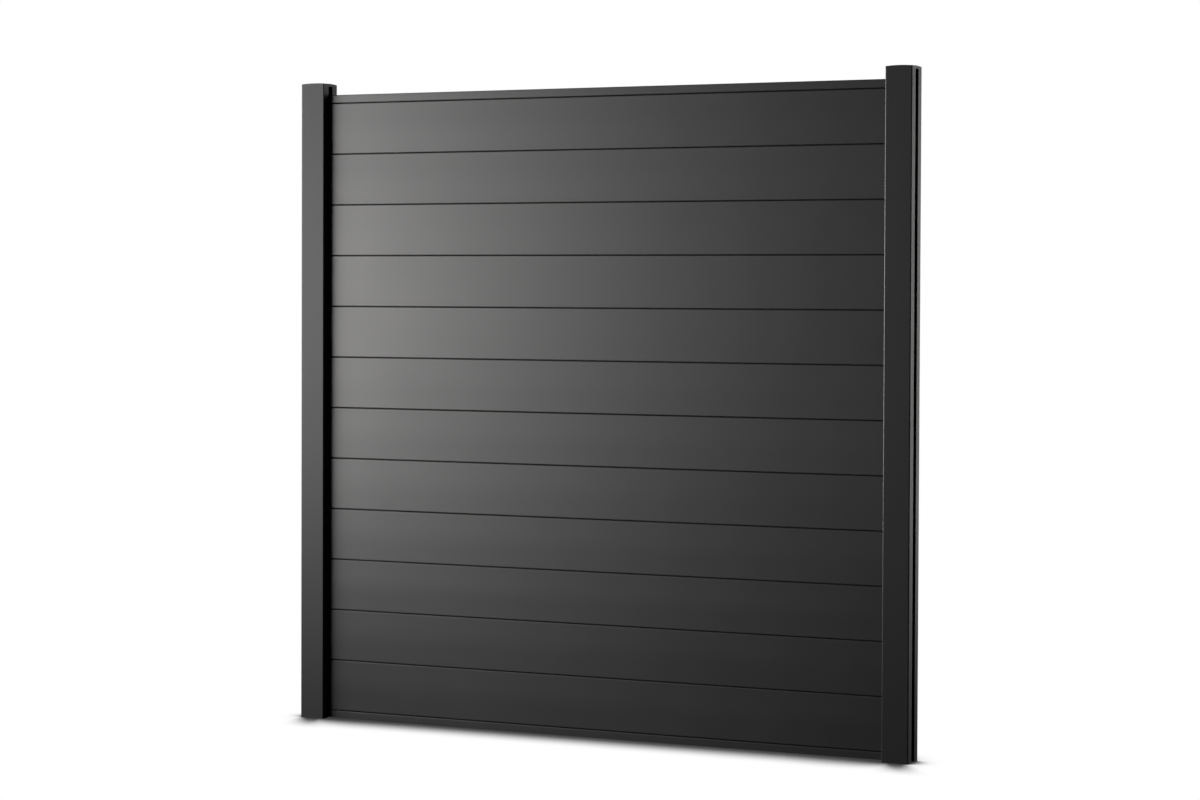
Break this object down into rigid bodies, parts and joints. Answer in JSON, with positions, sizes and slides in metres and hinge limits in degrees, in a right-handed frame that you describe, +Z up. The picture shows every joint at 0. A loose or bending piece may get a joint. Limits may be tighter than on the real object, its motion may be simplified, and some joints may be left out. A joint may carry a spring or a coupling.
{
  "type": "aluminium fence panel",
  "caption": "Slatted aluminium privacy fence panel: horizontal tongue-and-groove boards slid into the channels of two square capped posts, closed by a rail at top and bottom.",
  "frame": {"origin": "on the ground, midway between the two posts and in the middle of their depth", "axes": "+X along the panel to the right as seen from the front, +Y from the front to the back, +Z up"},
  "size_m": [1.912, 0.077, 1.884],
  "materials": {
    "post_coat": "matte",
    "slat_coat": "matte",
    "cap_plastic": "matte",
    "seal_rubber": "matte",
    "bracket_metal": "satin",
    "screw_steel": "satin"
  },
  "bodies": {
    "root": {"post_left": "post_coat", "post_right": "post_coat", "bottom_rail": "slat_coat", "top_rail": "slat_coat", "slat_01": "slat_coat", "slat_02": "slat_coat", "slat_03": "slat_coat", "slat_04": "slat_coat", "slat_05": "slat_coat", "slat_06": "slat_coat", "slat_07": "slat_coat", "slat_08": "slat_coat", "slat_09": "slat_coat", "slat_10": "slat_coat", "slat_11": "slat_coat", "slat_12": "slat_coat", "post_cap_left": "cap_plastic", "post_cap_right": "cap_plastic", "seal_left_front": "seal_rubber", "seal_left_back": "seal_rubber", "seal_right_front": "seal_rubber", "seal_right_back": "seal_rubber", "rail_bracket_left": "bracket_metal", "rail_bracket_right": "bracket_metal", "bracket_screws": "screw_steel"}
  },
  "joints": []
}
